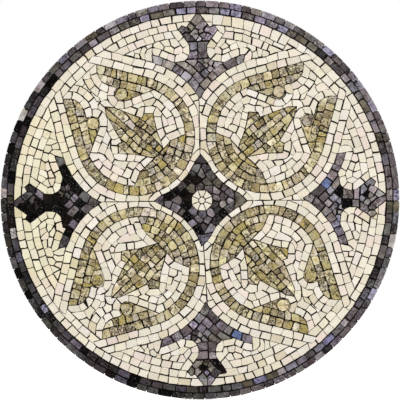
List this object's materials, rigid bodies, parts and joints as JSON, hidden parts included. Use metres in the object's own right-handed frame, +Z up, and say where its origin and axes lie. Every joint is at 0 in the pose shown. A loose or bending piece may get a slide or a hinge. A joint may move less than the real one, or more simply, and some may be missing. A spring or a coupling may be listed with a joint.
{
  "type": "round mosaic medallion panel",
  "caption": "Round flat mosaic panel of small marble stones on mesh: olive leaf scrolls and dark fleurons round a star, in a dark border, to be fixed to a wall or built in.",
  "frame": {"origin": "centre of the flat back of the mesh, where the panel is glued to a wall or bed", "axes": "+Z up the face, +X to the right as seen from the front, +Y out of the back, so the face looks along -Y"},
  "size_m": [0.61, 0.01, 0.6098],
  "materials": {
    "cream_marble": "honed cream marble, split and cut by hand",
    "olive_marble": "honed olive and ochre marble with dark speckle",
    "dark_marble": "honed dark grey, violet and near black marble",
    "mesh": "woven glass-fibre mesh"
  },
  "bodies": {
    "root": {"mesh_backing": "mesh", "border_outer_row": "dark_marble", "border_inner_row": "dark_marble", "centre_star": "dark_marble", "rosette_button": "cream_marble", "rosette_petal_1": "cream_marble", "rosette_petal_2": "cream_marble", "rosette_petal_3": "cream_marble", "rosette_petal_4": "cream_marble", "rosette_petal_5": "cream_marble", "rosette_petal_6": "cream_marble", "rosette_petal_7": "cream_marble", "rosette_petal_8": "cream_marble", "fleuron_right": "dark_marble", "fleuron_top": "dark_marble", "fleuron_left": "dark_marble", "fleuron_bottom": "dark_marble", "tulip_cup_top_right": "olive_marble", "tulip_leaf_top_right": "olive_marble", "ground_top_right": "cream_marble", "tulip_cup_top_left": "olive_marble", "tulip_leaf_top_left": "olive_marble", "ground_top_left": "cream_marble", "tulip_cup_bottom_left": "olive_marble", "tulip_leaf_bottom_left": "olive_marble", "ground_bottom_left": "cream_marble", "tulip_cup_bottom_right": "olive_marble", "tulip_leaf_bottom_right": "olive_marble", "ground_bottom_right": "cream_marble"}
  },
  "joints": []
}
